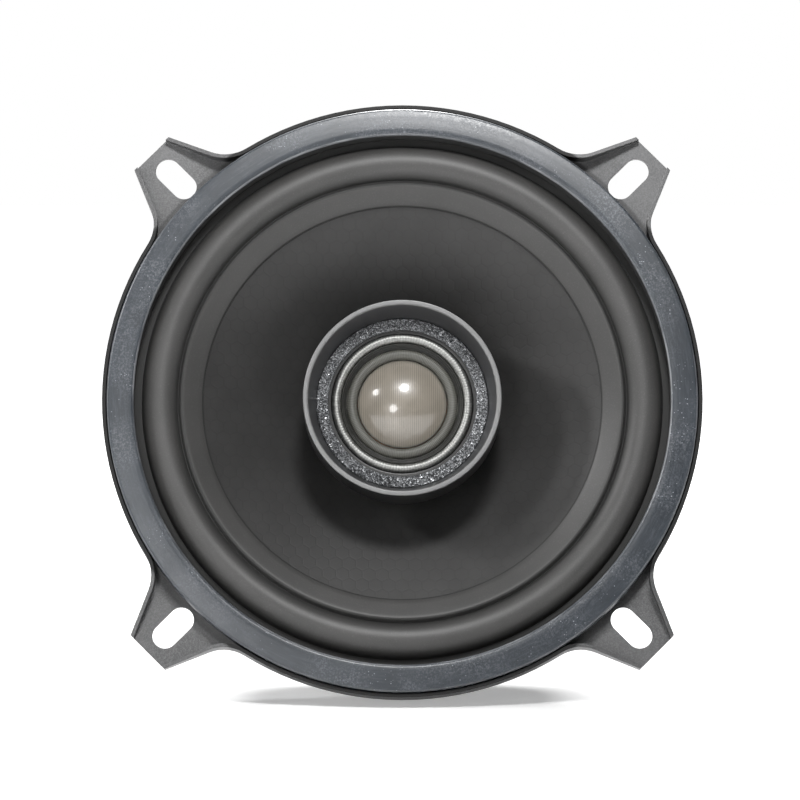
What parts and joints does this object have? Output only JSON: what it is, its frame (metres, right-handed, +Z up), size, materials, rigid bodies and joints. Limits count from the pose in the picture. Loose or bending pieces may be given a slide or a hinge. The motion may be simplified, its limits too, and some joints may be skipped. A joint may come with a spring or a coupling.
{
  "type": "coaxial car speaker",
  "caption": "Round two-way coaxial car speaker: pressed steel basket with slotted ears, half-roll surround, cone, central silk-dome tweeter and rear magnet motor with terminals.",
  "frame": {"origin": "centre of the flange's back (mounting) face, on the speaker's axis", "axes": "-Y out of the face, the way the cone and the dome point; +Z up, towards the terminal board; X to the side"},
  "size_m": [0.13, 0.0548, 0.13],
  "materials": {
    "basket": "satin pressed steel",
    "front_gasket": "matte moulded",
    "surround": "matte",
    "cone": "faint honeycomb press",
    "voice_coil_former": "thin foil",
    "voice_coil_winding": "enamelled copper wire",
    "spider": "resin-treated cloth",
    "top_plate": "zinc plated",
    "magnet": "sintered ferrite",
    "yoke": "zinc plated",
    "plate_rivets": "plated",
    "tweeter_post": "turned",
    "post_washer": "plated",
    "post_nut": "turned",
    "tweeter_housing": "satin grey",
    "tweeter_texture_ring": "grained",
    "tweeter_face_ring": "polished",
    "tweeter_step_ring": "dark",
    "tweeter_dome": "coated silk",
    "tweeter_surround": "coated cloth",
    "tweeter_coil_former": "thin foil",
    "tweeter_winding": "enamelled copper wire",
    "tweeter_cup": "plated",
    "tweeter_magnet": "nickel plated",
    "tweeter_pole_plate": "plated",
    "terminal_bracket": "satin pressed steel",
    "terminal_board": "black vulcanised fibre",
    "terminal_positive": "rolled",
    "terminal_negative": "rolled",
    "terminal_rivets": "rolled",
    "crossover_capacitor": "sleeved can",
    "capacitor_leads": "tinned",
    "tweeter_wires": "insulated",
    "tinsel_leads": "braided"
  },
  "bodies": {
    "frame": {"basket": "basket", "front_gasket": "front_gasket", "surround": "surround", "spider": "spider", "top_plate": "top_plate", "magnet": "magnet", "yoke": "yoke", "plate_rivets": "plate_rivets", "tweeter_post": "tweeter_post", "post_washer": "post_washer", "post_nut": "post_nut", "tweeter_housing": "tweeter_housing", "tweeter_texture_ring": "tweeter_texture_ring", "tweeter_face_ring": "tweeter_face_ring", "tweeter_step_ring": "tweeter_step_ring", "tweeter_surround": "tweeter_surround", "tweeter_cup": "tweeter_cup", "tweeter_magnet": "tweeter_magnet", "tweeter_pole_plate": "tweeter_pole_plate", "terminal_bracket": "terminal_bracket", "terminal_board": "terminal_board", "terminal_positive": "terminal_positive", "terminal_negative": "terminal_negative", "terminal_rivets": "terminal_rivets", "crossover_capacitor": "crossover_capacitor", "capacitor_leads": "capacitor_leads", "tweeter_wires": "tweeter_wires", "tinsel_leads": "tinsel_leads"},
    "cone_assembly": {"cone": "cone", "voice_coil_former": "voice_coil_former", "voice_coil_winding": "voice_coil_winding"},
    "dome_assembly": {"tweeter_dome": "tweeter_dome", "tweeter_coil_former": "tweeter_coil_former", "tweeter_winding": "tweeter_winding"}
  },
  "joints": [
    {"name": "cone_travel", "type": "slide", "parent": "frame", "child": "cone_assembly", "axis": [0, -1, 0], "range_m": [-0.003, 0.003], "stiffness_N_per_m": 1500, "deforming": ["surround", "spider", "tinsel_leads"]},
    {"name": "dome_travel", "type": "slide", "parent": "frame", "child": "dome_assembly", "axis": [0, -1, 0], "range_m": [-0.00025, 0.00025], "stiffness_N_per_m": 400, "deforming": ["tweeter_surround"]}
  ]
}
